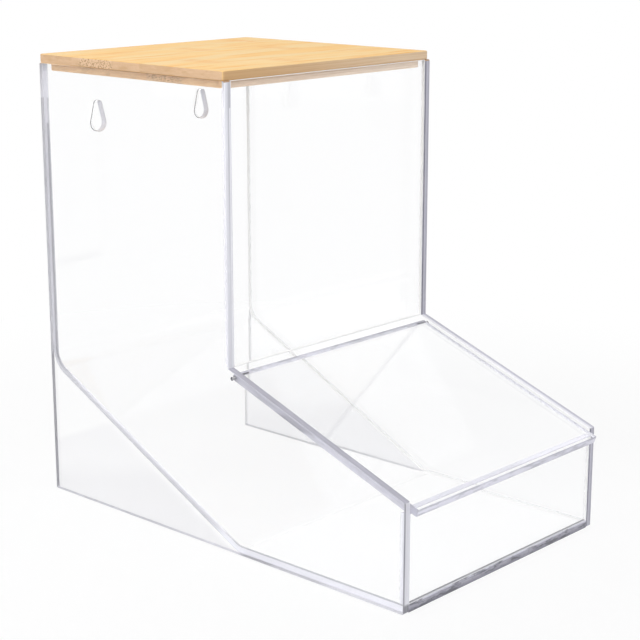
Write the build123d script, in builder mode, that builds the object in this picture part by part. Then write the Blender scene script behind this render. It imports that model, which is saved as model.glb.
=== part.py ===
from build123d import *
import os
from math import atan2, cos, degrees, sin, tan

os.makedirs("parts", exist_ok=True)

# The box is clear acrylic sheet of one thickness, with a loose bamboo lid. X is its width,
# +Y its back and +Z up. The origin is the centre of its footprint, on the surface that it stands on.
sheet = 4.0
box_width = 152.0
box_depth = 250.0
wall_height = 234.0

# The tall hopper stands at the back. In front of it the side panels slope down to the tray's front.
tower_depth = 138.0
slope_height = 95.0
front_height = 54.0
corner_radius = 1.0

# One sheet, bent twice by heat, is the back wall, the ramp and the tray's floor.
bend_radius = 10.0
ramp_height = 71.0
ramp_foot = 109.0

# Two teardrop holes in the back wall take the heads of wall screws.
hole_spacing = 76.0
hole_height = 199.5
hole_head_radius = 4.5
hole_neck_radius = 2.0
hole_rise = 10.0

# The flap covers the tray, turns on two short pins and rests on the tray's front panel.
flap_recess = 1.5
flap_overhang = 4.5
flap_side_gap = 0.5
flap_rest_gap = 0.1
pivot_ahead = 2.5
pin_radius = 0.75
pin_length = 10.0
pin_sink = 0.5
pin_chamfer = 0.2
pin_running_gap = 0.05
pin_end_gap = 0.3

# The lid is a top board that lies on the walls and a smaller board under it that centres it.
top_board = 4.5
inner_board = 4.0
lid_setback = 1.0
inner_board_gap = 1.0
lid_corner_radius = 2.0
lid_edge_radius = 0.8
inner_board_chamfer = 0.5

# Places that follow from the sizes above
inner_width = box_width - 2 * sheet
back_y = (box_depth + flap_overhang) / 2
front_y = back_y - box_depth
tower_y = back_y - tower_depth
foot_y = front_y + ramp_foot
slope = atan2(slope_height - front_height, tower_y - front_y)

flap_width = inner_width - 2 * flap_side_gap
flap_half = sheet / 2
pivot_y = tower_y - pivot_ahead
pivot_z = slope_height - pivot_ahead * tan(slope) - flap_recess - flap_half / cos(slope)
flap_length = (pivot_y - flap_half * sin(slope) - front_y + flap_overhang) / cos(slope)
flap_underside_at_front = front_height - flap_recess - sheet / cos(slope)
lip_height = flap_underside_at_front - flap_rest_gap
pin_outer_x = box_width / 2 - pin_sink
pin_inner_x = pin_outer_x - pin_length


def side_panel(outer_x, inward):
    """One side wall: a stepped outline cut from flat sheet, with a hole for the hinge pin."""
    with BuildPart() as panel:
        with BuildSketch(Plane.YZ.offset(outer_x)) as outline:
            with BuildLine():
                Polyline(
                    (front_y, 0),
                    (front_y, front_height),
                    (tower_y, slope_height),
                    (tower_y, wall_height),
                    (back_y, wall_height),
                    (back_y, 0),
                    close=True,
                )
            make_face()
            # Every corner is eased but the inner one, where the slope meets the tower.
            eased = outline.vertices().filter_by(lambda corner: abs(corner.Y - slope_height) > sheet)
            fillet(eased, corner_radius)
            with Locations((pivot_y, pivot_z)):
                Circle(pin_radius, mode=Mode.SUBTRACT)
        extrude(amount=inward * sheet)
    return panel.part


def hinge_pin(side):
    """A short steel pin, pressed into a side panel, that reaches into the flap's edge."""
    with BuildPart() as pin:
        with BuildSketch(Plane.YZ.offset(side * pin_inner_x)):
            with Locations((pivot_y, pivot_z)):
                Circle(pin_radius)
        extrude(amount=side * pin_length)
        chamfer(pin.edges().filter_by(GeomType.CIRCLE), pin_chamfer)
    return pin.part


def save(piece, label):
    """Names a finished piece and writes it to its own file."""
    piece.label = label
    export_step(piece, f"parts/{label}.step")


# Side panels
save(side_panel(-box_width / 2, 1), "side_panel_left")
save(side_panel(box_width / 2, -1), "side_panel_right")

# Back wall, ramp and floor. The line is the sheet's rear and lower face.
with BuildPart() as back_ramp_floor:
    with BuildSketch(Plane.YZ) as bent_section:
        with BuildLine() as under_face:
            FilletPolyline(
                (back_y, wall_height),
                (back_y, ramp_height),
                (foot_y, 0),
                (front_y, 0),
                radius=bend_radius + sheet,
            )
            offset(amount=sheet, side=Side.RIGHT)
        make_face()
    extrude(amount=inner_width / 2, both=True)

    for hole_x in (-hole_spacing / 2, hole_spacing / 2):
        hole_plane = Plane(origin=(hole_x, back_y, hole_height), x_dir=(1, 0, 0), z_dir=(0, -1, 0))
        with BuildSketch(hole_plane) as teardrop:
            Circle(hole_head_radius)
            with Locations((0, hole_rise)):
                Circle(hole_neck_radius)
            make_hull()
        extrude(amount=sheet, mode=Mode.SUBTRACT)
save(back_ramp_floor.part, "back_ramp_floor")

# Front of the hopper, which ends level with the top of the slope
with BuildPart() as upper_front_panel:
    with BuildSketch(Plane.XZ.offset(-tower_y)):
        with Locations((0, slope_height)):
            Rectangle(inner_width, wall_height - slope_height, align=(Align.CENTER, Align.MIN))
    extrude(amount=-sheet)
save(upper_front_panel.part, "upper_front_panel")

# Front of the tray, which stands on the floor and stops under the flap
with BuildPart() as lower_front_panel:
    with BuildSketch(Plane.XZ.offset(-front_y)):
        with Locations((0, sheet)):
            Rectangle(inner_width, lip_height - sheet, align=(Align.CENTER, Align.MIN))
    extrude(amount=-sheet)
save(lower_front_panel.part, "lower_front_panel")

# Flap. Its section starts at the hinge axis with a full round and ends in a square-cut nose.
down_slope = (0, -cos(slope), -sin(slope))
with BuildPart() as flap:
    flap_plane = Plane(origin=(0, pivot_y, pivot_z), x_dir=down_slope, z_dir=(1, 0, 0))
    with BuildSketch(flap_plane) as flap_section:
        Circle(flap_half)
        Rectangle(flap_length, sheet, align=(Align.MIN, Align.CENTER))
    extrude(amount=flap_width / 2, both=True)

    # Blind holes in the two edges, in which the flap turns on its pins
    for side in (-1, 1):
        with BuildSketch(Plane.YZ.offset(side * flap_width / 2)):
            with Locations((pivot_y, pivot_z)):
                Circle(pin_radius + pin_running_gap)
        extrude(amount=side * (pin_inner_x - pin_end_gap - flap_width / 2), mode=Mode.SUBTRACT)
save(flap.part, "flap")

# Hinge pins
save(hinge_pin(-1), "hinge_pin_left")
save(hinge_pin(1), "hinge_pin_right")

# Lid's top board, level with the sides and the back and a little short of the front
with BuildPart() as lid_top_board:
    board_depth = tower_depth - lid_setback
    with BuildSketch(Plane.XY.offset(wall_height)):
        with Locations((0, back_y - board_depth / 2)):
            RectangleRounded(box_width, board_depth, lid_corner_radius)
    extrude(amount=top_board)
    faces_up_and_down = lid_top_board.faces().filter_by(Plane.XY)
    fillet(faces_up_and_down.edges(), lid_edge_radius)
save(lid_top_board.part, "lid_top_board")

# Board glued under it, which drops between the walls
with BuildPart() as lid_inner_board:
    well_depth = tower_depth - 2 * sheet
    with BuildSketch(Plane.XY.offset(wall_height - inner_board)):
        with Locations((0, back_y - tower_depth / 2)):
            RectangleRounded(
                inner_width - 2 * inner_board_gap,
                well_depth - 2 * inner_board_gap,
                lid_corner_radius,
            )
    extrude(amount=inner_board)
    lower_face = lid_inner_board.faces().sort_by(Axis.Z)[0]
    chamfer(lower_face.edges(), inner_board_chamfer)
save(lid_inner_board.part, "lid_inner_board")

print(f"slope {degrees(slope):.2f} degrees, hinge axis at Y {pivot_y:.3f}, Z {pivot_z:.3f}")
print(f"flap {flap_width:.1f} wide, {flap_length:.2f} long, lip at Z {lip_height:.3f}")
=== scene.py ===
from math import asin, atan2, cos, hypot, pi, radians, sin, tan

import bmesh
import bpy
from mathutils import Matrix, Vector


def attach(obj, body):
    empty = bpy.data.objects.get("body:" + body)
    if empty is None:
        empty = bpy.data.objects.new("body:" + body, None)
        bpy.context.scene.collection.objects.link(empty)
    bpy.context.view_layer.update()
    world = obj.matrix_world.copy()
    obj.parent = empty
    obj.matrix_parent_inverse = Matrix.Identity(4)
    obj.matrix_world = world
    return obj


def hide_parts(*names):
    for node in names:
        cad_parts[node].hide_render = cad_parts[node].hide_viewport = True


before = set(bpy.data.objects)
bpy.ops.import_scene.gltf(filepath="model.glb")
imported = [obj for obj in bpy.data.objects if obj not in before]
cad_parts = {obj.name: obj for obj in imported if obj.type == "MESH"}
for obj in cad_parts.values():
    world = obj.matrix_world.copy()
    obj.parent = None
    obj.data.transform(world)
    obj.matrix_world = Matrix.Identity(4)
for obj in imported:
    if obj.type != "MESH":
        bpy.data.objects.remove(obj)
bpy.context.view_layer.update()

# Sizes in millimetres, the same as the part's own. X is the width, +Y the back and +Z up.
SHEET = 4.0
HALF_WIDTH, BOX_DEPTH, TOWER_DEPTH = 76.0, 250.0, 138.0
WALL_HEIGHT, SLOPE_HEIGHT, FRONT_HEIGHT = 234.0, 95.0, 54.0
CORNER_RADIUS, BEND_RADIUS = 1.0, 10.0
RAMP_HEIGHT, RAMP_FOOT = 71.0, 109.0
HOLE_X, HOLE_Z = 38.0, 199.5
HOLE_HEAD, HOLE_NECK, HOLE_RISE = 4.5, 2.0, 10.0
FLAP_RECESS, FLAP_OVERHANG, FLAP_SIDE_GAP, FLAP_REST_GAP = 1.5, 4.5, 0.5, 0.1
PIVOT_AHEAD = 2.5
PIN_RADIUS, PIN_BORE, PIN_BORE_END = 0.75, 0.8, 65.2
TOP_BOARD, INNER_BOARD = 4.5, 4.0
LID_SETBACK, INNER_BOARD_GAP, LID_CORNER_RADIUS = 1.0, 1.0, 2.0

# Places that follow from them
INNER_HALF = HALF_WIDTH - SHEET
BACK_Y = (BOX_DEPTH + FLAP_OVERHANG) / 2
FRONT_Y = BACK_Y - BOX_DEPTH
TOWER_Y = BACK_Y - TOWER_DEPTH
FOOT_Y = FRONT_Y + RAMP_FOOT
SLOPE = atan2(SLOPE_HEIGHT - FRONT_HEIGHT, TOWER_Y - FRONT_Y)
FLAP_HALF_WIDTH = INNER_HALF - FLAP_SIDE_GAP
PIVOT_Y = TOWER_Y - PIVOT_AHEAD
PIVOT_Z = SLOPE_HEIGHT - PIVOT_AHEAD * tan(SLOPE) - FLAP_RECESS - SHEET / 2 / cos(SLOPE)
FLAP_LENGTH = (PIVOT_Y - SHEET / 2 * sin(SLOPE) - FRONT_Y + FLAP_OVERHANG) / cos(SLOPE)
LIP_Z = FRONT_HEIGHT - FLAP_RECESS - SHEET / cos(SLOPE) - FLAP_REST_GAP

# Finish of the sheet: a fine bevel on every cut edge, the film of cement in a glued joint, and the
# bead and bubbles that the cement leaves. Edges meet crisply above the crease angle.
BEVEL, CEMENT = 0.22, 0.03
BEAD_RADIUS, BEAD_STEP = 0.12, 1.4
BUBBLE_RADIUS, BUBBLE_STEP, BUBBLE_SPREAD = 0.18, 3.1, 1.5
CREASE = 26.0
ACRYLIC_IOR = 1.49
MM = 0.001


# Shader maths
class Socket:
    """A node's output that Python's operators turn into maths nodes."""

    def __init__(self, graph, socket):
        self.graph, self.socket = graph, socket

    def maths(self, operation, *others):
        return self.graph.node("Math", dict(enumerate((self, *others))), operation=operation)

    def __add__(self, other):
        return self.maths("ADD", other)

    def __sub__(self, other):
        return self.maths("SUBTRACT", other)

    def __rsub__(self, other):
        return self.graph.node("Math", {0: other, 1: self}, operation="SUBTRACT")

    def __mul__(self, other):
        return self.maths("MULTIPLY", other)

    def __truediv__(self, other):
        return self.maths("DIVIDE", other)

    def __pow__(self, other):
        return self.maths("POWER", other)

    def __mod__(self, other):
        return self.maths("FLOORED_MODULO", other)

    def __abs__(self):
        return self.maths("ABSOLUTE")

    __radd__, __rmul__ = __add__, __mul__

    def floor(self):
        return self.maths("FLOOR")

    def at_most(self, other):
        return self.maths("MINIMUM", other)

    def at_least(self, other):
        return self.maths("MAXIMUM", other)

    def ease(self, low, high):
        """0 below low and 1 above high, or the reverse where low is the larger."""
        flip = low > high
        low, high = sorted((low, high))
        values = {"Value": self, "From Min": low, "From Max": high}
        values.update({"To Min": 1.0, "To Max": 0.0} if flip else {})
        return self.graph.node("MapRange", values, interpolation_type="SMOOTHSTEP")

    def line(self, centre, half_width):
        """1 at centre, falling to 0 at half_width on either side."""
        return abs(self - centre).ease(half_width, 0.0)


class Graph:
    """A node tree. Its one method, node, makes every node."""

    def __init__(self, tree):
        self.tree = tree

    def node(self, kind, values=(), out=0, stops=None, **settings):
        family = "" if kind.startswith(("Geometry", "Function", "NodeGroup")) else "ShaderNode"
        made = self.tree.nodes.new(family + kind)
        for key, value in settings.items():
            setattr(made, key, value)
        if stops:
            elements = made.color_ramp.elements
            while len(elements) < len(stops):
                elements.new(0.5)
            for element, (place, colour) in zip(elements, stops):
                element.position, element.color = place, (*colour, 1.0)
        for key, value in dict(values).items():
            entry = made.inputs[key]
            if isinstance(value, Socket):
                self.tree.links.new(value.socket, entry)
            else:
                is_colour = isinstance(value, tuple) and entry.type == "RGBA" and len(value) == 3
                entry.default_value = (*value, 1.0) if is_colour else value
        return Socket(self, made.outputs[out]) if made.outputs else made

    def combine(self, x, y, z=0.0):
        return self.node("CombineXYZ", {0: x, 1: y, 2: z})

    def noise(self, vector, scale=1.0, detail=2.0, roughness=0.5):
        values = {"Vector": vector, "Scale": scale, "Detail": detail, "Roughness": roughness}
        return self.node("TexNoise", values)


class Finish(Graph):
    """A material's or the world's node tree."""

    def __init__(self, name, world=False):
        self.owner = (bpy.data.worlds if world else bpy.data.materials).new(name)
        self.owner.use_nodes = True
        super().__init__(self.owner.node_tree)
        self.tree.nodes.clear()

    def mix(self, factor, first, second):
        """Two colours mixed."""
        return self.node("Mix", {0: factor, 6: first, 7: second}, out=2, data_type="RGBA")

    def mix_shader(self, factor, first, second):
        return self.node("MixShader", {0: factor, 1: first, 2: second})

    def ramp(self, value, stops):
        return self.node("ValToRGB", {0: value}, stops=stops)

    def axis(self, vector, i):
        return self.node("SeparateXYZ", {0: vector}, out=i)

    def place(self):
        """The point's x, y and z on the piece, in millimetres."""
        vector = self.node("TexCoord", out="Object")
        return [self.axis(vector, i) / MM for i in range(3)]

    def random(self, value):
        """A random number from 0 to 1 for each whole value."""
        return self.node("TexWhiteNoise", {"W": value}, noise_dimensions="1D")

    def principled(self, **values):
        return self.node("BsdfPrincipled", {k.replace("_", " "): v for k, v in values.items()})

    def bump(self, height, strength, distance):
        return self.node("Bump", {"Height": height, "Strength": strength, "Distance": distance})

    def ray(self, kind):
        return self.node("LightPath", out=kind)

    def seen(self):
        """1 for rays that show the background: to the camera, mirrored or through glass."""
        return self.ray("Is Camera Ray").at_least(self.ray("Is Glossy Ray")).at_least(
            self.ray("Is Transmission Ray"))

    def done(self, surface):
        kind = "OutputWorld" if isinstance(self.owner, bpy.types.World) else "OutputMaterial"
        self.node(kind, {"Surface": surface})
        return self.owner


class Recipe(Graph):
    """A Geometry Nodes tree with named inputs, which grows a body from lines."""

    def __init__(self, name, **inputs):
        super().__init__(bpy.data.node_groups.new(name, "GeometryNodeTree"))
        face = self.tree.interface
        face.new_socket("Lines", in_out="INPUT", socket_type="NodeSocketGeometry")
        self.inputs = {}
        for label, kind in inputs.items():
            socket = face.new_socket(label, in_out="INPUT", socket_type="NodeSocket" + kind)
            self.inputs[label] = socket.identifier
        face.new_socket("Body", in_out="OUTPUT", socket_type="NodeSocketGeometry")

    def given(self, label):
        return self.node("NodeGroupInput", out=label)

    def curve(self):
        """The given lines as a curve."""
        return self.node("GeometryNodeMeshToCurve", {0: self.given("Lines")})

    def sweep(self, line, section):
        """The section carried along the line, with closed ends."""
        values = {"Curve": line, "Profile Curve": section, "Fill Caps": True}
        return self.node("GeometryNodeCurveToMesh", values)

    def done(self, geometry):
        real = self.node("GeometryNodeRealizeInstances", {0: geometry})
        dressed = self.node("GeometryNodeSetMaterial", {"Geometry": real, "Material": self.given("Finish")})
        self.node("NodeGroupOutput", {"Body": dressed})
        return self

    def grow(self, name, lines, **values):
        """The body that the recipe makes from these lines of points, as a plain mesh."""
        mesh = bpy.data.meshes.new(name)
        points = [Vector(p) * MM for line in lines for p in line]
        edges, first = [], 0
        for line in lines:
            edges += [(first + i, first + i + 1) for i in range(len(line) - 1)]
            first += len(line)
        mesh.from_pydata(points, edges, [])
        piece = bpy.data.objects.new(name, mesh)
        bpy.context.scene.collection.objects.link(piece)
        change = piece.modifiers.new("recipe", "NODES")
        change.node_group = self.tree
        for label, value in values.items():
            change[self.inputs[label]] = value
        return baked(piece)


# Finishes
LAVENDER, VIOLET, TAN, CREAM = (0, 0, 7), (0, -1, 11), (28, -2, -30), (6, -4, -14)
DISPLAY_GAMMA = 2.2
PALEST = 0.97


def shown(grey, light=0.9, cast=LAVENDER):
    """The colour that a camera shows as this grey, out of 255, on a face that gets this much light."""
    return tuple(min(((grey + more) / 255) ** DISPLAY_GAMMA / light, PALEST) for more in cast)


def lets_lamps_through(look, shader, share):
    """Clear sheet casts a faint shadow, as real sheet does. share is how much of a lamp's light passes."""
    film = look.node("BsdfTransparent", {"Color": (share, share, share)})
    return look.mix_shader(look.ray("Is Shadow Ray"), shader, film)


def clear_sheet():
    """The broad faces: clear, with a trace of haze and rubbing that comes and goes. Under the ramp their
    tint is painted darker, in two steps that rise towards the front: painted shade for the grey room seen
    there."""
    look = Finish("clear_sheet")
    x, y, z = look.place()
    where = look.combine(x, y, z)
    clouds = look.noise(where, 0.012, 3.0, 0.6)
    rubbed = look.noise(look.combine(x * 0.05, y * 0.05, z * 0.9), 1.0, 4.0, 0.7)
    haze = 0.003 + clouds.ease(0.45, 0.75) * 0.006 + rubbed.ease(0.62, 0.8) * 0.004
    # Painted shade: behind and below the ramp the clear tint darkens in two steps.
    behind_ramp = (y - FOOT_Y - z * ((BACK_Y - FOOT_Y) / RAMP_HEIGHT)).ease(-4.0, 8.0)
    ahead = BACK_Y - y
    upper_painted_shade = (z - ahead * 0.42 - 28.0).ease(2.5, -2.5) * behind_ramp
    lower_painted_shade = (z - ahead * 0.25 - 6.0).ease(12.0, -6.0) * behind_ramp
    body = look.mix(upper_painted_shade, (0.995, 0.996, 0.998), (0.948, 0.948, 0.960))
    body = look.mix(lower_painted_shade, body, (0.888, 0.888, 0.905))
    waves = look.bump(look.noise(where, 0.02, 1.0), 0.02, 0.001)
    glass = look.principled(Base_Color=body, Roughness=0.0, IOR=ACRYLIC_IOR, Transmission_Weight=1.0,
                            Normal=waves)
    dust = look.principled(Base_Color=(0.93, 0.93, 0.96), Roughness=0.4)
    return look.done(lets_lamps_through(look, look.mix_shader(haze, glass, dust), share=0.96))


def sheet_edge(name, profiles, light=0.9, mottle=0.10, dark_patches=0.0, patch_grey=120, inside=0.2,
               rims=(0.6, 0.6), within=None, by="z", cast=LAVENDER):
    """A cut edge. Its colour is painted light and shade: bands with a slight cast that stand for the light
    the edge gathers along the sheet and for what it reflects.

    The map's u runs along the edge in metres and its v across the thickness from 0 to 1. profiles lists
    (from, to, greys across the thickness): each takes over from the last one as z, or the axis that by
    names, goes from its first value to its second. light is how brightly the edge is lit, and cast tints
    its greys. mottle is the strength of its fine specks, and the two after it are the strength and the grey
    of its larger patches: painted shade, as the bright streaks are painted highlight. inside and rims say
    how much of the paint a look through the sheet shows, at mid-thickness and along the two rims, and
    within is the painted grey that such a look finds, in place of what the sheet reflects inside."""
    look = Finish(name)
    uv = look.node("UVMap", uv_map="edge")
    u, v = look.axis(uv, 0) / MM, look.axis(uv, 1)
    x, y, z = look.place()
    slow = look.noise(look.combine(u * 0.012, 0.0, 2.0), 1.0, 2.0)
    wander = look.noise(look.combine(u * 0.03, v * 0.3, 5.0), 1.0, 2.0)
    across = v + (wander - 0.5) * 0.10
    colour = None
    where = {"x": x, "y": y, "z": z}[by]
    for low, high, greys in profiles:
        band = look.ramp(across, [(place, shown(grey, light, cast)) for place, grey in greys])
        colour = band if colour is None else look.mix(where.ease(low, high), colour, band)
    streaks = look.noise(look.combine(u * 0.06, v * 8.0), 1.0, 3.0, 0.65)
    specks = look.noise(look.combine(u * 0.6, v * 3.0), 1.0, 2.0, 0.6)
    clouds = look.noise(look.combine(u * 0.09, v * 1.5, 3.0), 1.0, 4.0, 0.62)
    # Painted light and shade along the edge: darker stretches, bright streaks of painted highlight, darker
    # specks and patches, and a faint pink tint in places.
    dark, bright = shown(patch_grey, light), shown(246, light)
    colour = look.mix(slow.ease(0.40, 0.68) * 0.10 + streaks.ease(0.5, 0.72) * 0.10, colour, dark)
    colour = look.mix(streaks.ease(0.48, 0.30) * 0.22, colour, bright)
    colour = look.mix(clouds.ease(0.46, 0.62) * dark_patches + specks.ease(0.55, 0.75) * mottle, colour, dark)
    tint = look.noise(look.combine(u * 0.05, v * 1.5, 7.0), 1.0, 2.0).ease(0.55, 0.75)
    colour = look.mix(tint * 0.08, colour, (0.76, 0.66, 0.72))
    through = look.node("NewGeometry", out="Backfacing")
    # A look through the sheet at its edge finds a painted grey, which stands for what the sheet reflects
    # inside.
    if within:
        colour = look.mix(through, colour, shown(within, light))
    outside = 1.0 - through
    ridges = look.bump(streaks * outside, 0.10, 0.0004)
    painted = look.principled(Base_Color=colour, Roughness=(specks * 0.15 - 0.36) * outside + 0.5,
                              IOR=ACRYLIC_IOR, Specular_IOR_Level=0.3, Normal=ridges)
    glass = look.principled(Base_Color=(0.975, 0.975, 0.985), Roughness=0.0, IOR=ACRYLIC_IOR,
                            Transmission_Weight=1.0)
    rim = (v.line(0.0, 0.34) * rims[0]).at_least(v.line(1.0, 0.30) * rims[1]) + inside
    paint = 1.0 - through * (1.0 - rim.at_most(1.0))
    return look.done(lets_lamps_through(look, look.mix_shader(paint, glass, painted), share=0.85))


STRIP_WIDTH, STRIP_SHIFT = 26.0, 3.5


def bamboo(name, patch, front, ends):
    """Laminated bamboo. Strips lie along X, side by side in Y. The strip whose middle is at patch shows
    its dark bundles on its left sawn end. front and ends are the colours of the long edge, left and
    right, and of the sawn ends, deep and pale."""
    look = Finish(name)
    x, y, z = look.place()
    strip = ((y + STRIP_SHIFT) / STRIP_WIDTH).floor()
    shade = look.random(strip + 3.0)
    along = x + look.random(strip + 12.0) * 90.0
    broad = look.noise(look.combine(along * 0.013, y * 0.060, strip * 3.0), 1.0, 3.0, 0.5)
    streak = look.noise(look.combine(along * 0.019, y * 0.17, strip * 5.0), 1.0, 4.0, 0.55)
    fibre = look.noise(look.combine(x * 0.020, y * 0.9, z * 0.9), 1.0, 4.0, 0.62)
    fine = look.noise(look.combine(x * 0.06, y * 4.0, z * 4.0), 1.0, 3.0, 0.6)
    honey = look.mix(broad.ease(0.36, 0.64), (0.91, 0.655, 0.325), (0.93, 0.585, 0.215))
    honey = look.mix(shade * 0.45, honey, (0.94, 0.66, 0.30))
    honey = look.mix(streak.ease(0.50, 0.68) * 0.80, honey, (0.89, 0.455, 0.115))
    honey = look.mix(fibre.ease(0.50, 0.75) * 0.35, honey, (0.84, 0.48, 0.17))
    honey = look.mix(fibre.ease(0.46, 0.28) * 0.35, honey, (0.94, 0.72, 0.42))
    honey = look.mix(fine.ease(0.45, 0.75) * 0.15, honey, (0.80, 0.52, 0.24))
    # A knuckle of the cane crosses each strip somewhere, as a soft orange smear.
    knuckle_x = (look.random(strip + 11.0) - 0.5) * 120.0
    smear = look.noise(look.combine(x * 0.05, y * 0.5, strip * 3.0), 1.0, 2.0)
    knuckle = abs(x - knuckle_x + (smear - 0.5) * 24.0).ease(9.0, 0.0) * fibre.ease(0.35, 0.65)
    honey = look.mix(knuckle * 0.7, honey, (0.84, 0.38, 0.09))
    from_middle = abs((y + STRIP_SHIFT) % STRIP_WIDTH - STRIP_WIDTH / 2)
    seam = from_middle.ease(STRIP_WIDTH / 2 - 0.4, STRIP_WIDTH / 2)
    honey = look.mix(seam * 0.3, honey, (0.62, 0.36, 0.14))

    normal = look.node("TexCoord", out="Normal")
    on_end = abs(look.axis(normal, 0)).ease(0.6, 0.9)
    on_front = abs(look.axis(normal, 1)).ease(0.6, 0.9)
    bundles = look.combine(y * 0.80, z * 1.45, x * 0.05)
    values = {"Vector": bundles, "Scale": 1.0, "Randomness": 0.75}
    cells = look.node("TexVoronoi", values, out="Distance")
    strong = abs(y - patch).ease(14.0, 12.0) * x.ease(20.0, -20.0) * 0.92 + 0.08
    dots = cells.ease(0.52, 0.20) * strong
    cloudy = look.noise(look.combine(y * 0.11, z * 0.9, strip * 2.0), 1.0, 3.0)
    end = look.mix(cloudy.ease(0.3, 0.7) * 0.6 + shade * 0.4, ends[0], ends[1])
    patches = look.noise(look.combine(y * 0.09, z * 0.25, strip + 5.0), 1.0, 2.0)
    end = look.mix(patches.ease(0.5, 0.66) * 0.4, end, (0.56, 0.35, 0.18))
    end = look.mix((strong - 0.08) * 0.3, end, (0.88, 0.66, 0.45))
    end = look.mix(dots * 0.80, end, (0.32, 0.16, 0.06))
    colour = look.mix(on_end, honey, end)
    # Long edges show the layers of the strip as thin level lines.
    layers = look.noise(look.combine(x * 0.012, z * 1.6), 1.0, 3.0, 0.7)
    edge = look.mix(x.ease(-80.0, 70.0), front[0], front[1])
    edge = look.mix(layers.ease(0.42, 0.7) * 0.45, edge, (0.50, 0.29, 0.13))
    colour = look.mix(on_front, colour, edge)
    relief = fibre * 0.6 + fine * 0.4 - dots * 0.5 - seam * 0.4
    return look.done(look.principled(Base_Color=colour, Roughness=0.46 + fine * 0.16 + dots * 0.1,
                                     IOR=1.45, Specular_IOR_Level=0.1,
                                     Normal=look.bump(relief, 0.3, 0.0003)))


def pin_steel():
    look = Finish("pin_steel")
    x, y, z = look.place()
    drawn = look.noise(look.combine(x * 0.3, (y - PIVOT_Y) * 12.0, (z - PIVOT_Z) * 12.0), 1.0, 3.0)
    colour = look.mix(drawn, (0.40, 0.40, 0.42), (0.60, 0.60, 0.62))
    return look.done(look.principled(Base_Color=colour, Metallic=1.0, Roughness=0.22 + drawn * 0.16,
                                     Normal=look.bump(drawn, 0.1, 0.0001)))


def cement():
    """Hardened solvent cement, where it has crept out of a joint."""
    look = Finish("cement")
    x, y, z = look.place()
    uneven = look.noise(look.combine(x, y, z), 0.25, 3.0)
    colour = look.mix(uneven.ease(0.35, 0.7), (0.78, 0.77, 0.82), (0.93, 0.93, 0.96))
    film = look.node("BsdfTransparent", {"Color": (0.98, 0.98, 0.985)})
    paste = look.principled(Base_Color=colour, Roughness=0.08 + uneven * 0.15, IOR=1.45)
    blend = look.mix_shader(0.15 + uneven.ease(0.4, 0.7) * 0.20, film, paste)
    return look.done(lets_lamps_through(look, blend, share=0.9))


def floor_paint():
    """White card. Near the box the camera sees it dimmed a little where the box shades it."""
    look = Finish("floor_paint")
    x, y, z = look.place()
    grain = look.noise(look.combine(x, y, z), 0.05, 2.0)
    card = look.node("BsdfDiffuse", {"Color": look.mix(grain, (0.93, 0.93, 0.935), (0.95, 0.95, 0.95))})
    glow = look.node("Emission", {"Color": (1.0, 1.0, 1.0), "Strength": 1.0})
    away = ((x * x + y * y) ** 0.5).ease(200.0, 480.0)
    return look.done(look.mix_shader(look.seen() * (0.80 + away * 0.20), card, glow))


def studio_air(level):
    look = Finish("studio_air", world=True)
    soft = look.node("Background", {"Color": (0.97, 0.98, 1.0), "Strength": level})
    white = look.node("Background", {"Color": (1.0, 1.0, 1.0), "Strength": 1.0})
    return look.done(look.mix_shader(look.seen(), soft, white))


# Flat shapes
def arc(centre, radius, start, turn, steps):
    angles = [start + turn * i / steps for i in range(steps + 1)]
    return [(centre[0] + radius * cos(angle), centre[1] + radius * sin(angle)) for angle in angles]


def eased(corners, radii, steps, lead=0.0):
    """A line through corners with each corner rounded by its own radius. A corner without a radius stays
    as it is. lead adds a point just before and after each arc, which keeps the flats beside it flat when
    they are shaded smoothly."""
    line = []
    for i, corner in enumerate(corners):
        radius = radii[i]
        if not radius:
            line.append(corner)
            continue
        before, after = Vector(corners[i - 1]), Vector(corners[(i + 1) % len(corners)])
        here = Vector(corner)
        to_before, to_after = (before - here).normalized(), (after - here).normalized()
        half = to_before.angle(to_after) / 2
        reach = radius / tan(half)
        start, end = here + to_before * reach, here + to_after * reach
        centre = here + (to_before + to_after).normalized() * (radius / sin(half))
        to_start, to_end = start - centre, end - centre
        turn = pi - 2 * half
        if to_start.x * to_end.y - to_start.y * to_end.x < 0:
            turn = -turn
        if lead:
            line.append(tuple(start + to_before * lead))
        line += arc(centre, radius, atan2(to_start.y, to_start.x), turn, steps)
        if lead:
            line.append(tuple(end + to_after * lead))
    return line


def circle(centre, radius):
    return arc(centre, radius, 0.0, 2 * pi, 20)[:-1]


def rectangle(half_width, low, high):
    return [(-half_width, low), (half_width, low), (half_width, high), (-half_width, high)]


def teardrop(grow=0.0):
    """The hanging hole's outline about the centre of its wide end."""
    lean = asin((HOLE_HEAD - HOLE_NECK) / HOLE_RISE)
    wide = arc((0, 0), HOLE_HEAD + grow, pi - lean, pi + 2 * lean, 30)
    narrow = arc((0, HOLE_RISE), HOLE_NECK + grow, lean, pi - 2 * lean, 14)
    return wide + narrow


# Meshes
def mesh_object(name, shape):
    mesh = bpy.data.meshes.new(name)
    shape.normal_update()
    shape.to_mesh(mesh)
    shape.free()
    piece = bpy.data.objects.new(name, mesh)
    bpy.context.scene.collection.objects.link(piece)
    return piece


def baked(piece):
    """The piece with its modifiers made part of its mesh."""
    graph = bpy.context.evaluated_depsgraph_get()
    mesh = bpy.data.meshes.new_from_object(piece.evaluated_get(graph))
    name = piece.name
    bpy.data.objects.remove(piece)
    mesh.name = name
    made = bpy.data.objects.new(name, mesh)
    bpy.context.scene.collection.objects.link(made)
    return made


# Each plane says where a flat outline's own x, y and thickness go.
PLANES = {
    "side": Matrix(((0, 0, 1, 0), (1, 0, 0, 0), (0, 1, 0, 0), (0, 0, 0, 1))),
    "front": Matrix(((1, 0, 0, 0), (0, 0, -1, 0), (0, 1, 0, 0), (0, 0, 0, 1))),
    "level": Matrix.Identity(4),
}


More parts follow.
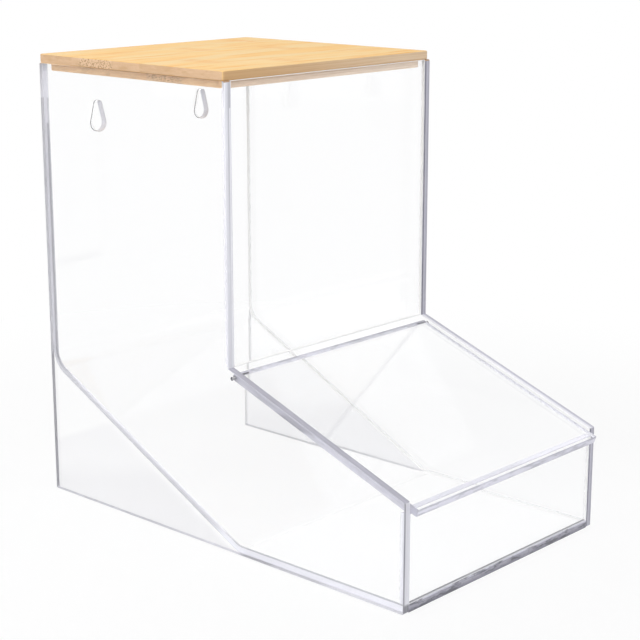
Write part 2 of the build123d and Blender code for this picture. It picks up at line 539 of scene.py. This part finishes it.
def cut_sheet(name, outlines, plane, low, high, bevel=BEVEL, steps=0):
    """A sheet cut to outlines, the first its rim and the rest its holes, between two levels, with every
    edge bevelled. steps above 0 rounds the bevel."""
    curve = bpy.data.curves.new(name, "CURVE")
    curve.dimensions, curve.fill_mode = "2D", "BOTH"
    for outline in outlines:
        spline = curve.splines.new("POLY")
        spline.points.add(len(outline) - 1)
        for point, (a, b) in zip(spline.points, outline):
            point.co = (a * MM, b * MM, 0.0, 1.0)
        spline.use_cyclic_u = True
    curve.extrude = ((high - low) / 2 - bevel) * MM
    curve.bevel_depth, curve.bevel_resolution, curve.offset = bevel * MM, steps, -bevel * MM
    holder = bpy.data.objects.new(name + "_outline", curve)
    bpy.context.scene.collection.objects.link(holder)
    graph = bpy.context.evaluated_depsgraph_get()
    mesh = bpy.data.meshes.new_from_object(holder.evaluated_get(graph))
    bpy.data.objects.remove(holder)
    bpy.data.curves.remove(curve)
    mid = (low + high) / 2 * (-1 if plane == "front" else 1)
    mesh.transform(PLANES[plane] @ Matrix.Translation((0, 0, mid * MM)))
    shape = bmesh.new()
    shape.from_mesh(mesh)
    bpy.data.meshes.remove(mesh)
    bmesh.ops.remove_doubles(shape, verts=shape.verts, dist=1e-6)
    bmesh.ops.recalc_face_normals(shape, faces=shape.faces)
    return mesh_object(name, shape)


def solid_from(name, loops):
    """A closed solid through rings of points, each ring of the same length."""
    shape = bmesh.new()
    rings = [[shape.verts.new(Vector(p) * MM) for p in loop] for loop in loops]
    count = len(rings[0])
    for ring, following in zip(rings, rings[1:]):
        for i in range(count):
            j = (i + 1) % count
            shape.faces.new((ring[i], ring[j], following[j], following[i]))
    shape.faces.new(rings[0])
    shape.faces.new(rings[-1])
    bmesh.ops.recalc_face_normals(shape, faces=shape.faces)
    return mesh_object(name, shape)


def cut_away(piece, cutters):
    """The piece less the cutters, which are used up."""
    for cutter in cutters:
        change = piece.modifiers.new("cut", "BOOLEAN")
        change.operation, change.object, change.solver = "DIFFERENCE", cutter, "EXACT"
    made = baked(piece)
    for cutter in cutters:
        bpy.data.objects.remove(cutter)
    shape = bmesh.new()
    shape.from_mesh(made.data)
    bmesh.ops.remove_doubles(shape, verts=shape.verts, dist=1e-6)
    shape.to_mesh(made.data)
    shape.free()
    return made


def dress(piece, choose, edge_map):
    """Gives each face of a sheet one of the sheet's finishes and its place on the edge map.

    choose takes a face's centre in millimetres and its normal and gives the finish's name. edge_map takes
    a corner's place and the normal."""
    mesh = piece.data
    mesh.materials.clear()
    for finish in SHEET_FINISHES:
        mesh.materials.append(finish)
    slots = {finish.name: i for i, finish in enumerate(SHEET_FINISHES)}
    layer = mesh.uv_layers.new(name="edge")
    for face in mesh.polygons:
        face.material_index = slots[choose(face.center / MM, face.normal)]
        for loop in face.loop_indices:
            corner = mesh.vertices[mesh.loops[loop].vertex_index].co / MM
            u, v = edge_map(corner, face.normal)
            layer.data[loop].uv = (u * MM, v)


def settle(piece, body, slot, *nodes):
    """Shades a finished piece smoothly, with crisp edges above the crease angle, and puts it on its body
    in place of the plain nodes that it stands for."""
    piece.data.shade_smooth()
    piece.data.set_sharp_from_angle(angle=radians(CREASE))
    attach(piece, body)
    if nodes:
        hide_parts(*nodes)


# Recipes
def sheet_recipe():
    """Sweeps a sheet's section, with bevelled corners, along the line that the bent sheet follows."""
    tree = Recipe("sheet_along_line", Width="Float", Thickness="Float", Bevel="Float", Finish="Material")
    section = tree.node("GeometryNodeCurvePrimitiveQuadrilateral",
                        {"Width": tree.given("Width"), "Height": tree.given("Thickness")})
    section = tree.node("GeometryNodeFilletCurve",
                        {"Curve": section, "Count": 1, "Radius": tree.given("Bevel")}, mode="POLY")
    return tree.done(tree.sweep(tree.curve(), section))


def bead_recipe():
    """Runs a thin uneven bead of cement along every seam."""
    tree = Recipe("cement_beads", Radius="Float", Step="Float", Seed="Int", Finish="Material")
    line = tree.node("GeometryNodeResampleCurve", {"Curve": tree.curve(), "Length": tree.given("Step")},
                     mode="LENGTH")
    place = tree.node("GeometryNodeInputPosition")
    values = {"Vector": place, "W": tree.given("Seed"), "Scale": 90.0, "Detail": 3.0}
    uneven = tree.node("TexNoise", values, noise_dimensions="4D")
    size = uneven.ease(0.36, 0.66) * 0.25 + 0.75
    line = tree.node("GeometryNodeSetCurveRadius", {"Curve": line, "Radius": size})
    section = tree.node("GeometryNodeCurvePrimitiveCircle",
                        {"Resolution": 6, "Radius": tree.given("Radius")})
    return tree.done(tree.sweep(line, section))


def bubble_recipe():
    """Scatters air bubbles along the glued joints."""
    tree = Recipe("joint_bubbles", Size="Float", Step="Float", Spread="Float", Seed="Int",
                  Finish="Material")
    points = tree.node("GeometryNodeCurveToPoints", {"Curve": tree.curve(), "Length": tree.given("Step")},
                       mode="LENGTH")
    values = {"Min": (0.0, -1.0, -1.0), "Max": (0.0, 1.0, 1.0), "Seed": tree.given("Seed")}
    shift = tree.node("FunctionNodeRandomValue", values, data_type="FLOAT_VECTOR")
    shift = tree.node("VectorMath", {0: shift, "Scale": tree.given("Spread")}, operation="SCALE")
    points = tree.node("GeometryNodeSetPosition", {"Geometry": points, "Offset": shift})
    ball = tree.node("GeometryNodeMeshIcoSphere", {"Radius": tree.given("Size"), "Subdivisions": 1})
    values = {2: 0.0, 3: 1.0, "Seed": tree.given("Seed") + 1.0}
    chance = tree.node("FunctionNodeRandomValue", values, out=1)
    scale = chance * chance * 0.85 + 0.15
    values = {"Points": points, "Instance": ball, "Scale": scale}
    return tree.done(tree.node("GeometryNodeInstanceOnPoints", values))


# The box
# Where a profile takes over: everywhere, or above the tray
ALWAYS, TOWER = (0.0, 0.0), (60.0, 68.0)
# Each cut edge's greys, lines and patches are painted light and shade: they stand for the light and
# reflections that edge shows, and change where that light changes.
SHEET_FINISHES = [
    clear_sheet(),
    sheet_edge("left_post_edge", [
        (*ALWAYS, [(0.0, 160), (0.1, 128), (0.5, 138), (1.0, 128)]),
        (3.6, 5.2, [(0.0, 196), (0.06, 144), (0.20, 150), (0.28, 222), (0.8, 224), (1.0, 240)]),
        (*TOWER, [(0.0, 232), (0.26, 224), (0.46, 224), (0.56, 220), (0.70, 220), (0.80, 236), (1.0, 244)]),
        (120.0, 205.0,
         [(0.0, 240), (0.26, 236), (0.46, 230), (0.56, 200), (0.70, 200), (0.80, 238), (1.0, 244)]),
        (221.0, 221.6,
         [(0.0, 240), (0.26, 236), (0.44, 222), (0.56, 212), (0.70, 192), (0.86, 192), (1.0, 206)]),
    ], light=0.95, mottle=0.06),
    sheet_edge("right_post_edge", [
        (*ALWAYS,
         [(0.0, 180), (0.15, 158), (0.40, 166), (0.62, 188), (0.76, 140), (0.92, 120), (1.0, 165)]),
        (*TOWER, [(0.0, 190), (0.15, 162), (0.40, 172), (0.64, 186), (0.78, 125), (0.92, 108), (1.0, 165)]),
    ], light=0.88, mottle=0.12, cast=VIOLET),
    sheet_edge("left_slope_edge", [
        (*ALWAYS, [(0.0, 200), (0.12, 174), (0.45, 186), (0.62, 180), (0.88, 172), (1.0, 200)]),
    ], light=1.0, mottle=0.12, dark_patches=0.20, patch_grey=150, cast=VIOLET),
    sheet_edge("right_slope_edge", [
        (*ALWAYS, [(0.0, 216), (0.12, 198), (0.45, 203), (0.62, 236), (0.75, 250), (1.0, 245)]),
    ], light=1.0, mottle=0.05, cast=VIOLET),
    sheet_edge("left_rear_edge", [
        (*ALWAYS, [(0.0, 150), (0.3, 160), (0.7, 160), (1.0, 150)]),
        (2.0, 3.0, [(0.0, 140), (0.3, 150), (0.7, 158), (1.0, 150)]),
        (74.0, 84.0, [(0.0, 186), (0.3, 192), (0.7, 196), (1.0, 186)]),
        (202.0, 203.0, [(0.0, 160), (0.25, 186), (0.7, 204), (1.0, 186)]),
        (215.0, 216.5, [(0.0, 222), (0.5, 226), (1.0, 222)]),
    ], mottle=0.02, inside=1.0),
    sheet_edge("right_rear_edge", [
        (*ALWAYS, [(0.0, 236), (0.5, 240), (1.0, 236)]),
    ], mottle=0.02, inside=1.0),
    # The bottom edges: painted shade, grey, darker in some stretches along their length.
    sheet_edge("underside_edge", [
        (*ALWAYS, [(0.0, 190), (0.3, 200), (0.7, 200), (1.0, 190)]),
        (-76.0, -66.0, [(0.0, 168), (0.3, 174), (0.7, 174), (1.0, 168)]),
        (-42.0, -34.0, [(0.0, 140), (0.3, 146), (0.7, 146), (1.0, 140)]),
        (-20.0, -12.0, [(0.0, 194), (0.3, 200), (0.7, 200), (1.0, 194)]),
        (10.0, 60.0, [(0.0, 174), (0.3, 181), (0.7, 181), (1.0, 174)]),
    ], mottle=0.02, inside=1.0, by="y"),
    # The side panels' top rims: painted shade under the lid, tinted tan by the bamboo over them, and
    # lighter towards the back.
    sheet_edge("side_rim_edge", [
        (*ALWAYS, [(0.0, 132), (1.0, 140)]),
        (84.0, 112.0, [(0.0, 206), (1.0, 196)]),
    ], light=0.8, mottle=0.03, by="y", cast=TAN),
    # The top rims of the upper front panel and the back sheet: a painted highlight, a warm pale line set
    # brighter than their shade under the lid allows.
    sheet_edge("rim_edge", [
        (*ALWAYS, [(0.0, 252), (1.0, 246)]),
    ], light=0.6, mottle=0.0, cast=CREAM),
    sheet_edge("glued_edge", [
        (*ALWAYS, [(0.0, 214), (0.10, 204), (0.22, 222), (0.5, 216), (0.78, 214), (0.86, 162), (1.0, 152)]),
        (4.0, 14.0,
         [(0.0, 170), (0.14, 178), (0.34, 190), (0.44, 174), (0.56, 196), (0.82, 208), (1.0, 220)]),
        (62.0, 76.0,
         [(0.0, 180), (0.15, 190), (0.34, 190), (0.46, 176), (0.58, 138), (0.86, 136), (1.0, 176)]),
        (202.0, 203.0, [(0.0, 176), (0.15, 194), (0.62, 196), (0.76, 150), (0.88, 152), (1.0, 190)]),
        (215.0, 216.5, [(0.0, 194), (0.15, 194), (0.8, 196), (1.0, 192)]),
    ], mottle=0.06, inside=1.0, within=243),
    sheet_edge("panel_end", [
        (*ALWAYS, [(0.0, 206), (0.5, 208), (0.8, 218), (1.0, 226)]),
    ], mottle=0.03, inside=1.0, within=249),
    sheet_edge("panel_foot", [
        (*ALWAYS, [(0.0, 210), (0.35, 190), (0.6, 116), (1.0, 96)]),
        (20.0, 30.0, [(0.0, 222), (0.3, 242), (0.7, 246), (1.0, 230)]),
    ], light=0.8, mottle=0.06, inside=0.8, rims=(0.2, 0.2)),
    sheet_edge("tray_rim_edge", [
        (*ALWAYS, [(0.0, 192), (0.25, 212), (0.5, 204), (0.75, 214), (1.0, 200)]),
        (0.0, 25.0, [(0.0, 200), (0.25, 232), (0.5, 224), (0.75, 232), (1.0, 206)]),
    ], light=1.12, mottle=0.06, by="x", cast=VIOLET),
    sheet_edge("hole_edge", [
        (*ALWAYS, [(0.0, 206), (0.2, 200), (0.8, 198), (1.0, 190)]),
    ], light=0.8, mottle=0.03, inside=0.03, rims=(0.95, 0.0), within=104),
    sheet_edge("floor_front_edge", [
        (*ALWAYS,
         [(0.0, 156), (0.10, 128), (0.32, 146), (0.62, 168), (0.80, 156), (0.86, 200), (1.0, 206)]),
    ], light=0.92, mottle=0.40, dark_patches=0.85, patch_grey=98, inside=0.5, cast=VIOLET),
    sheet_edge("flap_nose_edge", [
        (*ALWAYS, [(0.0, 210), (0.2, 218), (0.5, 222), (0.8, 218), (0.93, 196), (1.0, 208)]),
        (-10.0, 30.0, [(0.0, 196), (0.2, 206), (0.5, 210), (0.8, 204), (0.93, 178), (1.0, 190)]),
    ], light=0.88, mottle=0.08, dark_patches=0.45, patch_grey=140, by="x", cast=VIOLET),
    sheet_edge("flap_side_edge", [
        (*ALWAYS, [(0.0, 198), (0.2, 192), (0.45, 186), (0.7, 188), (0.9, 182), (1.0, 180)]),
        (71.5, 73.5, [(0.0, 142), (0.2, 134), (0.45, 144), (0.7, 158), (0.9, 170), (1.0, 176)]),
        (77.5, 79.5, [(0.0, 174), (0.2, 168), (0.45, 164), (0.7, 168), (0.9, 166), (1.0, 172)]),
    ], dark_patches=0.40, patch_grey=146, inside=1.0, within=208, cast=VIOLET),
    # The hinge bores: a painted dark grey, which stands for the pin as it shows darkly through the clear
    # bore.
    sheet_edge("bore_wall", [
        (*ALWAYS, [(0.0, 110), (1.0, 120)]),
    ], light=0.8, inside=0.7, rims=(0.0, 0.0)),
]

# Far enough apart, along the edge maps, that no two sheets show the same stretch of a pattern
SIDE_PANEL_SHIFT, FLAP_SHIFT = 500.0, 900.0


def side_outline():
    corners = [(FRONT_Y, 0), (BACK_Y, 0), (BACK_Y, WALL_HEIGHT), (TOWER_Y, WALL_HEIGHT),
               (TOWER_Y, SLOPE_HEIGHT), (FRONT_Y, FRONT_HEIGHT)]
    # The inner corner, where the slope meets the tower, stays sharp.
    radii = [0.0 if corner == (TOWER_Y, SLOPE_HEIGHT) else CORNER_RADIUS for corner in corners]
    return eased(corners, radii, steps=5)


def build_side_panel(name, side):
    low, high = sorted((side * HALF_WIDTH, side * INNER_HALF))
    hole = circle((PIVOT_Y, PIVOT_Z), PIN_RADIUS)
    piece = cut_sheet(name, [side_outline(), hole], "side", low, high)
    hand = "left" if side < 0 else "right"

    def choose(centre, normal):
        if abs(normal.x) > 0.9:
            return "clear_sheet"
        if hypot(centre.y - PIVOT_Y, centre.z - PIVOT_Z) < PIN_RADIUS + 2 * BEVEL:
            return "bore_wall"
        if centre.z > WALL_HEIGHT - 1.2 * CORNER_RADIUS and normal.z > 0.3:
            return "side_rim_edge"
        if normal.z < -0.4:
            return "underside_edge"
        if normal.y > 0.6:
            return hand + "_rear_edge"
        return hand + ("_slope_edge" if normal.z > 0.5 else "_post_edge")

    def edge_map(corner, normal):
        along = corner.z if abs(normal.y) > 0.7 else corner.y
        return along + side * SIDE_PANEL_SHIFT, abs(corner.x - side * HALF_WIDTH) / SHEET

    dress(piece, choose, edge_map)
    settle(piece, "box", "clear_acrylic", name)


def build_front_panel(name, low_z, high_z, front, top_edge):
    half = INNER_HALF - CEMENT
    piece = cut_sheet(name, [rectangle(half, low_z, high_z)], "front", front, front + SHEET)

    def choose(centre, normal):
        if abs(normal.y) > 0.9:
            return "clear_sheet"
        if abs(normal.x) > 0.5:
            return "panel_end"
        return top_edge if normal.z > 0 else "panel_foot"

    def edge_map(corner, normal):
        along = corner.x if abs(normal.z) > 0.7 else corner.z
        return along + high_z, (corner.y - front) / SHEET

    dress(piece, choose, edge_map)
    settle(piece, "box", "clear_acrylic", name)


def bent_stations():
    """Points along the bent sheet's rear and lower face, each with the direction across the sheet and the
    length so far."""
    corners = [(BACK_Y, WALL_HEIGHT), (BACK_Y, RAMP_HEIGHT), (FOOT_Y, 0.0), (FRONT_Y, 0.0)]
    radii = [0.0, BEND_RADIUS + SHEET, BEND_RADIUS + SHEET, 0.0]
    line = [Vector(p) for p in eased(corners, radii, steps=16, lead=0.5)]
    line.insert(1, line[0] + (line[1] - line[0]).normalized() * BEVEL)
    line.insert(-1, line[-1] + (line[-2] - line[-1]).normalized() * BEVEL)
    stations, length = [], 0.0
    for i, point in enumerate(line):
        before, after = line[max(i - 1, 0)], line[min(i + 1, len(line) - 1)]
        way = (point - before).normalized() + (after - point).normalized()
        way.normalize()
        length += (point - before).length
        stations.append((point, Vector((way.y, -way.x)), length))
    return stations


def build_bent_sheet():
    name = "back_ramp_floor"
    half = INNER_HALF - CEMENT
    stations = bent_stations()
    middle = [(0.0, *(point + across * SHEET / 2)) for point, across, length in stations]
    piece = sheet_recipe().grow(name, [middle], Width=2 * half * MM, Thickness=SHEET * MM,
                                Bevel=BEVEL * MM, Finish=SHEET_FINISHES[0])
    shape = bmesh.new()
    shape.from_mesh(piece.data)
    for vertex in shape.verts:
        # The bevel round the two cut ends of the sheet
        x, y, z = vertex.co / MM
        at_top, at_front = z > WALL_HEIGHT - BEVEL / 2, y < FRONT_Y + BEVEL / 2
        if at_top or at_front:
            vertex.co.x -= BEVEL * MM * (1 if x > 0 else -1)
        if at_top:
            vertex.co.y += BEVEL * MM * (1 if y < BACK_Y - SHEET / 2 else -1)
        if at_front:
            vertex.co.z += BEVEL * MM * (1 if z < SHEET / 2 else -1)
    bmesh.ops.recalc_face_normals(shape, faces=shape.faces)
    shape.to_mesh(piece.data)
    shape.free()

    # Each cutter flares by its overshoot past both faces, so that it leaves a bevel round the hole.
    overshoot = 1.0
    levels = [(BACK_Y + overshoot, BEVEL + overshoot), (BACK_Y - BEVEL, 0.0),
              (BACK_Y - SHEET + BEVEL, 0.0), (BACK_Y - SHEET - overshoot, BEVEL + overshoot)]
    cutters = []
    for x in (-HOLE_X, HOLE_X):
        rings = [[(x + a, y, HOLE_Z + b) for a, b in teardrop(grow)] for y, grow in levels]
        cutters.append(solid_from("teardrop_cutter", rings))
    piece = cut_away(piece, cutters)

    def in_hole(centre, normal):
        level = HOLE_Z - 1.5 * HOLE_HEAD < centre.z < HOLE_Z + HOLE_RISE + 2 * HOLE_NECK
        return level and abs(centre.x) < INNER_HALF - 1 and abs(normal.y) < 0.9

    def choose(centre, normal):
        if in_hole(centre, normal):
            return "hole_edge"
        if centre.y < FRONT_Y + 2 * BEVEL and normal.y < -0.5:
            return "floor_front_edge"
        if abs(normal.x) > 0.5:
            return "glued_edge"
        at_rim = centre.z > WALL_HEIGHT - 2 * BEVEL and normal.z > 0.5
        return "rim_edge" if at_rim else "clear_sheet"

    def edge_map(corner, normal):
        if abs(normal.x) > 0.5 and normal.y > -0.5 and abs(corner.x) > INNER_HALF - 1:
            here = Vector((corner.y, corner.z))
            point, across, length = min(stations, key=lambda station: (station[0] - here).length)
            return length, (here - point).dot(across) / SHEET
        if normal.y < -0.5 and corner.y < FRONT_Y + 1:
            return corner.x, corner.z / SHEET
        return corner.x + corner.z, (BACK_Y - corner.y) / SHEET

    dress(piece, choose, edge_map)
    settle(piece, "box", "clear_acrylic", name)


def build_flap():
    name = "flap"
    down, across = Vector((-cos(SLOPE), -sin(SLOPE))), Vector((-sin(SLOPE), cos(SLOPE)))
    pivot = Vector((PIVOT_Y, PIVOT_Z))
    half, lead, bevel = SHEET / 2, 0.5, 0.2
    round_end = [(lead, half), *arc((0, 0), half, pi / 2, pi, 22), (lead, -half)]
    nose = [(FLAP_LENGTH - bevel, -half), (FLAP_LENGTH, -half + bevel),
            (FLAP_LENGTH, half - bevel), (FLAP_LENGTH - bevel, half)]
    outline = [tuple(pivot + down * a + across * b) for a, b in round_end + nose]
    piece = cut_sheet(name, [outline], "side", -FLAP_HALF_WIDTH, FLAP_HALF_WIDTH)
    cutters = []
    for side in (-1, 1):
        rings = [[(side * x, y, z) for y, z in circle((PIVOT_Y, PIVOT_Z), PIN_BORE)]
                 for x in (PIN_BORE_END, FLAP_HALF_WIDTH + 1)]
        cutters.append(solid_from("bore_cutter", rings))
    piece = cut_away(piece, cutters)

    def local_of(corner):
        offset = Vector((corner.y, corner.z)) - pivot
        return offset.dot(down), offset.dot(across)

    def choose(centre, normal):
        along, height = local_of(centre)
        if hypot(along, height) < 1.5 * PIN_BORE and abs(centre.x) < FLAP_HALF_WIDTH - 0.01:
            return "bore_wall"
        if abs(normal.x) > 0.5:
            return "flap_side_edge"
        return "flap_nose_edge" if along > FLAP_LENGTH - 0.5 or along < 0.4 else "clear_sheet"

    def edge_map(corner, normal):
        along, height = local_of(corner)
        run = corner.x if abs(normal.x) < 0.5 else along
        return run + FLAP_SHIFT, height / SHEET + 0.5

    dress(piece, choose, edge_map)
    settle(piece, "flap", "clear_acrylic", name)


build_side_panel("side_panel_left", -1)
build_side_panel("side_panel_right", 1)
build_front_panel("upper_front_panel", SLOPE_HEIGHT, WALL_HEIGHT, TOWER_Y, "rim_edge")
build_front_panel("lower_front_panel", SHEET + CEMENT, LIP_Z, FRONT_Y, "tray_rim_edge")
build_bent_sheet()
build_flap()

steel = pin_steel()
for pin in ("hinge_pin_left", "hinge_pin_right"):
    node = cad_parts[pin]
    node.data.materials.clear()
    node.data.materials.append(steel)


# The joints
def inner_seams(radius):
    """Lines just inside the corners where sheets meet, at which a bead of this radius touches both."""
    top = WALL_HEIGHT - INNER_BOARD - 1.0
    rear_y, tower_y, front_y = BACK_Y - SHEET - radius, TOWER_Y + SHEET + radius, FRONT_Y + SHEET + radius
    floor_z = SHEET + radius
    bend = [tuple(point + across * (SHEET + radius)) for point, across, length in bent_stations()]
    bend = [(y, z) for y, z in bend if z < top and y > FRONT_Y + SHEET + 1]
    seams = []
    for side in (-1, 1):
        x = side * (INNER_HALF - radius)
        along_bend = [(rear_y, top), *bend, (FRONT_Y + SHEET + 0.5, floor_z)]
        seams.append([(x, y, z) for y, z in along_bend])
        seams.append([(x, tower_y, SLOPE_HEIGHT + 0.5), (x, tower_y, top)])
        seams.append([(x, front_y, SHEET + 0.5), (x, front_y, LIP_Z - 0.8)])
    seams.append([(-INNER_HALF + 0.6, front_y, floor_z), (INNER_HALF - 0.6, front_y, floor_z)])
    return seams


def glued_lines():
    """The middles of the joints between the side panels and the sheets between them."""
    middle = [point + across * SHEET / 2 for point, across, length in bent_stations()[1:-1]]
    y = FRONT_Y + SHEET / 2
    lines = []
    for side in (-1, 1):
        x = side * (INNER_HALF - CEMENT)
        lines.append([(x, *point) for point in middle])
        lines.append([(x, y, SHEET + 3.0), (x, y, LIP_Z - 2.0)])
    return lines


paste = cement()
beads = bead_recipe().grow("cement_beads", inner_seams(BEAD_RADIUS), Radius=BEAD_RADIUS * MM,
                           Step=BEAD_STEP * MM, Seed=7, Finish=paste)
settle(beads, "box", "clear_acrylic")
bubbles = bubble_recipe().grow("joint_bubbles", glued_lines(), Size=BUBBLE_RADIUS * MM,
                               Step=BUBBLE_STEP * MM, Spread=BUBBLE_SPREAD * MM, Seed=3, Finish=paste)
settle(bubbles, "box", "clear_acrylic")


# The lid
def build_board(name, half_width, low_y, high_y, low_z, high_z, finish):
    outline = eased(rectangle(half_width, low_y, high_y), [LID_CORNER_RADIUS] * 4, steps=8)
    piece = cut_sheet(name, [outline], "level", low_z, high_z, bevel=0.5, steps=3)
    # Each flat face becomes one polygon with a narrow frame, so that it stays flat in smooth shading.
    shape = bmesh.new()
    shape.from_mesh(piece.data)
    flats = [f for f in shape.faces if abs(f.normal.z) > 0.999]
    bmesh.ops.dissolve_faces(shape, faces=[f for f in flats if f.normal.z > 0])
    bmesh.ops.dissolve_faces(shape, faces=[f for f in shape.faces if f.normal.z < -0.999])
    flats = [f for f in shape.faces if abs(f.normal.z) > 0.999]
    bmesh.ops.inset_individual(shape, faces=flats, thickness=0.4 * MM)
    shape.to_mesh(piece.data)
    shape.free()
    piece.data.materials.append(finish)
    settle(piece, "box", "bamboo", name)


top_bamboo = bamboo("bamboo_top", patch=82.0, front=((0.62, 0.395, 0.205), (0.80, 0.61, 0.42)),
                    ends=((0.655, 0.432, 0.258), (0.735, 0.505, 0.325)))
# The inner board's long edge is painted paler, and lighter to the right, than its bamboo: painted light for
# a face that the top board shades, seen through the front panel's haze.
inner_bamboo = bamboo("bamboo_inner", patch=34.0, front=((0.90, 0.70, 0.54), (0.96, 0.79, 0.64)),
                      ends=((0.80, 0.48, 0.25), (0.90, 0.61, 0.355)))
build_board("lid_top_board", HALF_WIDTH, TOWER_Y + LID_SETBACK, BACK_Y,
            WALL_HEIGHT, WALL_HEIGHT + TOP_BOARD, top_bamboo)
build_board("lid_inner_board", INNER_HALF - INNER_BOARD_GAP,
            TOWER_Y + SHEET + INNER_BOARD_GAP, BACK_Y - SHEET - INNER_BOARD_GAP,
            WALL_HEIGHT - INNER_BOARD, WALL_HEIGHT, inner_bamboo)


# Stage
# In metres and degrees. The camera stands where the photo was taken from, turned and tilted the same.
FLOOR_RADIUS, FLOOR_DROP = 12.0, 0.0003
CAMERA_AT, CAMERA_TURN, CAMERA_TILT = (-0.60899, -0.56238, 0.31343), 47.348, 14.210
LENS, SENSOR = 92.21, 36.0
ROOM_LIGHT = 0.47


def lay_floor():
    shape = bmesh.new()
    bmesh.ops.create_circle(shape, cap_ends=True, segments=64, radius=FLOOR_RADIUS)
    floor = mesh_object("floor", shape)
    floor.data.transform(Matrix.Translation((0, 0, -FLOOR_DROP)))
    floor.data.materials.append(floor_paint())


def soft_box(name, where, aim_height, size, power):
    """A square lamp that looks at the box's middle at a height."""
    lamp = bpy.data.lights.new(name, "AREA")
    lamp.shape, lamp.size, lamp.energy = "SQUARE", size, power
    holder = bpy.data.objects.new(name, lamp)
    holder.location = where
    aim = Vector((0.0, 0.0, aim_height)) - Vector(where)
    holder.rotation_euler = aim.to_track_quat("-Z", "Y").to_euler()
    bpy.context.scene.collection.objects.link(holder)


def stand_camera():
    camera = bpy.data.cameras.new("camera")
    camera.lens, camera.sensor_width = LENS, SENSOR
    holder = bpy.data.objects.new("camera", camera)
    holder.location = CAMERA_AT
    holder.rotation_euler = (radians(90 - CAMERA_TILT), 0.0, -radians(CAMERA_TURN))
    bpy.context.scene.collection.objects.link(holder)
    bpy.context.scene.camera = holder


lay_floor()
soft_box("key", (-0.9, 0.0, 1.6), aim_height=0.10, size=1.3, power=15.0)
soft_box("fill", (0.3, -1.5, 0.9), aim_height=0.10, size=1.2, power=3.5)
soft_box("low_left", (-1.35, -0.85, 0.28), aim_height=0.15, size=1.0, power=7.0)
soft_box("back", (0.6, 1.3, 1.3), aim_height=0.10, size=1.2, power=4.0)
stand_camera()
bpy.context.scene.world = studio_air(ROOM_LIGHT)
bpy.context.scene.view_settings.view_transform = "Standard"
